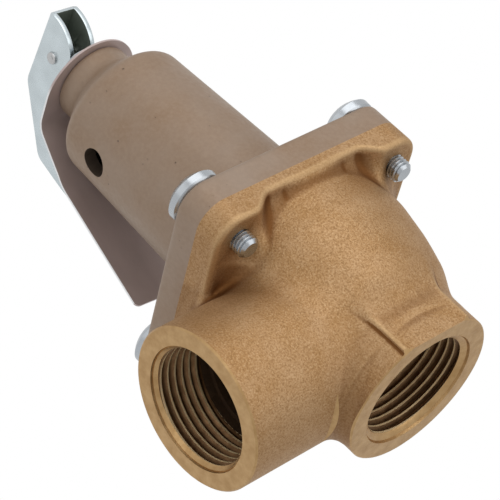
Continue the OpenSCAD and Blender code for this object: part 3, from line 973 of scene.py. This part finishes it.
# ---------- the piece list ----------
finish_piece(build_body(), "casing", ["body"], [BRONZE, TURNED, THREAD_SHADE, INNER_SHADE, CREST_HIGHLIGHT])
finish_piece(build_bonnet(), "casing", ["bonnet"], [PAINT, BARE_SHADED])
finish_piece(build_screws(), "casing", ["bonnet_screws"], [ZINC])
finish_piece(build_nameplate(), "casing", ["nameplate"], [SATIN])
finish_piece(build_lock_nut(), "casing", ["lock_nut"], [ZINC])
finish_piece(build_lever(), "lever", ["lever"], [LEVER_PLATE, LEVER_INSIDE_SHADE])
finish_piece(build_pin(), "lever", ["lever_pin"], [BRIGHT])

CAD_FINISH = {
    "seat_ring": BRASS,
    "seat_gasket": FIBRE,
    "upper_spring_button": BRIGHT,
    "adjusting_screw": BRIGHT,
    "stem": BRIGHT,
    "wing_guide": BRASS,
    "seat_disc": SEAT_RUBBER,
    "disc_holder": BRASS,
    "lower_diaphragm_plate": BRASS,
    "upper_diaphragm_plate": BRIGHT,
    "diaphragm_nut": BRIGHT,
    "lower_spring_button": BRIGHT,
}
for node, finish in CAD_FINISH.items():
    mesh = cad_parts[node].data
    mesh.materials.clear()
    mesh.materials.append(finish)

coil = build_spring()
coil.data.materials.append(SPRING)
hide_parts("spring")
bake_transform(coil)

sheet = build_diaphragm()
sheet.data.materials.append(DIAPHRAGM_RUBBER)
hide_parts("diaphragm")
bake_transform(sheet)

# ---------- stage ----------
world = bpy.data.worlds.new("studio")
bpy.context.scene.world = world
world.use_nodes = True
tree = world.node_tree
tree.nodes.clear()
output = tree.nodes.new("ShaderNodeOutputWorld")
seen = tree.nodes.new("ShaderNodeBackground")
seen.inputs["Color"].default_value = (1, 1, 1, 1)
lit = tree.nodes.new("ShaderNodeBackground")
lit.inputs["Color"].default_value = (1, 1, 1, 1)
direction = tree.nodes.new("ShaderNodeSeparateXYZ")
tree.links.new(tree.nodes.new("ShaderNodeTexCoord").outputs["Generated"], direction.inputs[0])
dimmer = tree.nodes.new("ShaderNodeMapRange")  # the light from below is weaker
for key, number in zip(RANGE_KEYS, (-1, 0, 0.62, 0.78)):
    dimmer.inputs[key].default_value = number
tree.links.new(direction.outputs["Z"], dimmer.inputs["Value"])
tree.links.new(dimmer.outputs[0], lit.inputs["Strength"])
choose = tree.nodes.new("ShaderNodeMixShader")
path = tree.nodes.new("ShaderNodeLightPath")
tree.links.new(path.outputs["Is Camera Ray"], choose.inputs[0])
tree.links.new(lit.outputs[0], choose.inputs[1])
tree.links.new(seen.outputs[0], choose.inputs[2])
tree.links.new(choose.outputs[0], output.inputs["Surface"])

AIM = Vector((0.005, -0.002, 0.055))
CAMERA_RIGHT = Vector((-0.73711, 0.19101, -0.64822))
CAMERA_UP = Vector((-0.36365, 0.69638, 0.61872))
CAMERA_BACK = Vector((0.56959, 0.69179, -0.44384))
CAMERA_AT = Vector((0.271877, 0.325531, -0.161880))


def softbox(name, right, up, back, distance, size, watts, tint=(1, 1, 1)):
    """A square light placed by the camera's own directions and turned to the valve."""
    away = (CAMERA_RIGHT * right + CAMERA_UP * up + CAMERA_BACK * back).normalized()
    data = bpy.data.lights.new(name, "AREA")
    data.size = size
    data.energy = watts
    data.color = tint
    light = bpy.data.objects.new(name, data)
    light.location = AIM + away * distance
    light.rotation_mode = "QUATERNION"
    light.rotation_quaternion = away.to_track_quat("Z", "Y")
    bpy.context.scene.collection.objects.link(light)


softbox("key", 0.4, 1.0, 0.7, 0.7, 0.7, 1.7)
softbox("side", 1.0, 0.1, 0.5, 0.7, 0.5, 0.7)
softbox("front", -0.6, 0.2, 1.0, 0.8, 0.6, 0.4)

floor_mesh = bpy.data.meshes.new("floor")
span, level = 3.0, -0.0005
corners = [(x * span, y * span, level) for x, y in ((-1, -1), (1, -1), (1, 1), (-1, 1))]
floor_mesh.from_pydata(corners, [], [(0, 1, 2, 3)])
floor = bpy.data.objects.new("floor", floor_mesh)
bpy.context.scene.collection.objects.link(floor)
floor_look = Finish("floor", (0.9, 0.9, 0.9), 0.0, 0.7)
facing = floor_look.add("ShaderNodeNewGeometry").outputs["Backfacing"]
clear = floor_look.add("ShaderNodeBsdfTransparent").outputs[0]
one_sided = floor_look.add("ShaderNodeMixShader")
floor_look.put(facing, one_sided.inputs[0])
floor_look.put(floor_look.shader.outputs[0], one_sided.inputs[1])
floor_look.put(clear, one_sided.inputs[2])
surface = next(n for n in floor_look.tree.nodes if n.type == "OUTPUT_MATERIAL")
floor_look.put(one_sided.outputs[0], surface.inputs["Surface"])
floor_mesh.materials.append(floor_look.material)
floor.visible_diffuse = False
floor.visible_glossy = False
floor.visible_shadow = False

camera_data = bpy.data.cameras.new("camera")
camera_data.lens = 164.7
camera_data.sensor_width = 36
camera_data.clip_start = 0.01
camera_data.clip_end = 20
camera = bpy.data.objects.new("camera", camera_data)
bpy.context.scene.collection.objects.link(camera)
camera.matrix_world = frame_of(CAMERA_RIGHT, CAMERA_UP, CAMERA_BACK, CAMERA_AT)
bpy.context.scene.camera = camera
bpy.context.scene.view_settings.view_transform = "Standard"
